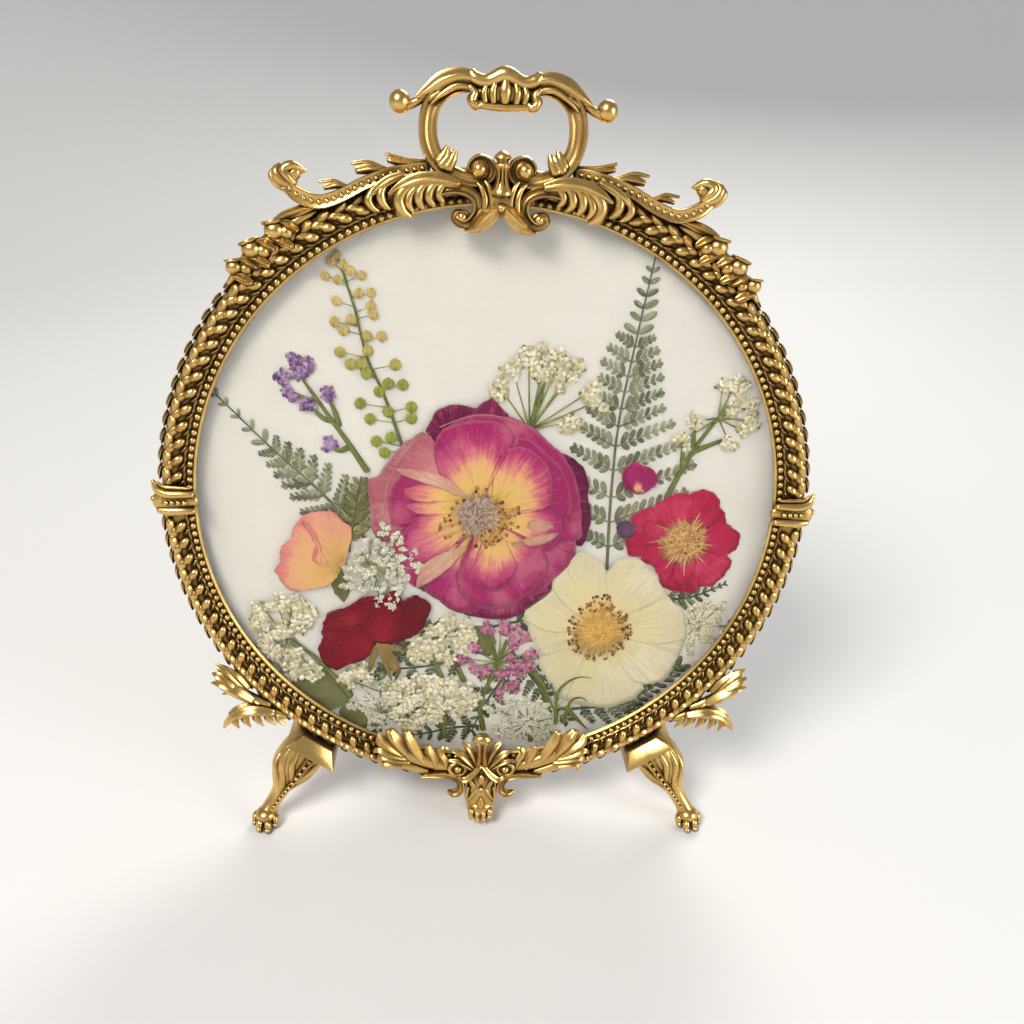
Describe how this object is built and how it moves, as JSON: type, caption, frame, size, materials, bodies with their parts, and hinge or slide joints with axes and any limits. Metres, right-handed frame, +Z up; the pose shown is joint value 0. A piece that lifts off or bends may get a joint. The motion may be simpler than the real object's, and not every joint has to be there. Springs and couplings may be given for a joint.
{
  "type": "pressed flower frame",
  "caption": "Round gilt cast frame on two paw feet and an easel strut, with a carrying loop on top and roses, ferns and small blossom pressed behind its glass.",
  "frame": {"origin": "on the surface that it stands on, under the middle of its footprint", "axes": "+Z up, +Y towards the back, +X to the right for someone who looks at the flowers"},
  "size_m": [0.172, 0.0604, 0.1987],
  "materials": {
    "antique_gilt": "antique gold with dark patina in the recesses",
    "hinge_steel": "plated, satin",
    "clear_glass": "clear and polished",
    "white_card": "matt uncoated card",
    "black_velvet": "flocked board, velvet nap",
    "magenta_petal": "dry pressed petal",
    "cream_petal": "dry pressed petal",
    "crimson_petal": "dry pressed petal",
    "dark_red_petal": "dry pressed petal",
    "peach_petal": "dry pressed petal",
    "violet_floret": "dry pressed florets",
    "pink_floret": "dry pressed florets",
    "white_floret": "dry pressed florets",
    "fern_green": "dry pressed frond",
    "pod_green": "dry pressed pods and stem",
    "leaf_green": "dry pressed leaf"
  },
  "bodies": {
    "frame": {"acanthus_spray_left": "antique_gilt", "acanthus_spray_right": "antique_gilt", "alyssum_pink": "pink_floret", "alyssum_violet": "violet_floret", "alyssum_white_left": "white_floret", "alyssum_white_low": "white_floret", "alyssum_white_mid": "white_floret", "alyssum_white_right": "white_floret", "alyssum_white_top": "white_floret", "backboard": "black_velvet", "bottom_pendant": "antique_gilt", "bud_magenta": "magenta_petal", "bud_peach": "peach_petal", "bud_spray_left": "antique_gilt", "bud_spray_right": "antique_gilt", "bud_violet": "violet_floret", "carry_handle": "antique_gilt", "crest_scroll": "antique_gilt", "crest_wing_left": "antique_gilt", "crest_wing_right": "antique_gilt", "fern_left": "fern_green", "fern_low_left": "fern_green", "fern_short": "fern_green", "fern_sprig_right": "fern_green", "fern_sprigs_low": "fern_green", "fern_tall": "fern_green", "flower_card": "white_card", "frame_ring": "antique_gilt", "glass_pane": "clear_glass", "grass_blades": "leaf_green", "hinge_bracket": "hinge_steel", "hinge_pin": "hinge_steel", "lace_left": "white_floret", "lace_low": "white_floret", "lace_low_left": "white_floret", "lace_right": "white_floret", "paw_leg_left": "antique_gilt", "paw_leg_right": "antique_gilt", "peppergrass": "pod_green", "plinth_left": "antique_gilt", "plinth_right": "antique_gilt", "retaining_clip_1": "hinge_steel", "retaining_clip_2": "hinge_steel", "retaining_clip_3": "hinge_steel", "retaining_clip_4": "hinge_steel", "rose_cream": "cream_petal", "rose_crimson": "crimson_petal", "rose_dark_red": "dark_red_petal", "rose_two_tone": "magenta_petal", "round_leaf": "leaf_green", "side_clasp_left": "antique_gilt", "side_clasp_right": "antique_gilt"},
    "easel": {"easel_strut": "black_velvet", "strut_leaf": "hinge_steel"}
  },
  "joints": [
    {"name": "easel_hinge", "type": "hinge", "parent": "frame", "child": "easel", "pos_m": [0, 0.00382, 0.10488], "axis": [1, 0, 0], "range_deg": [-21, 0]}
  ]
}
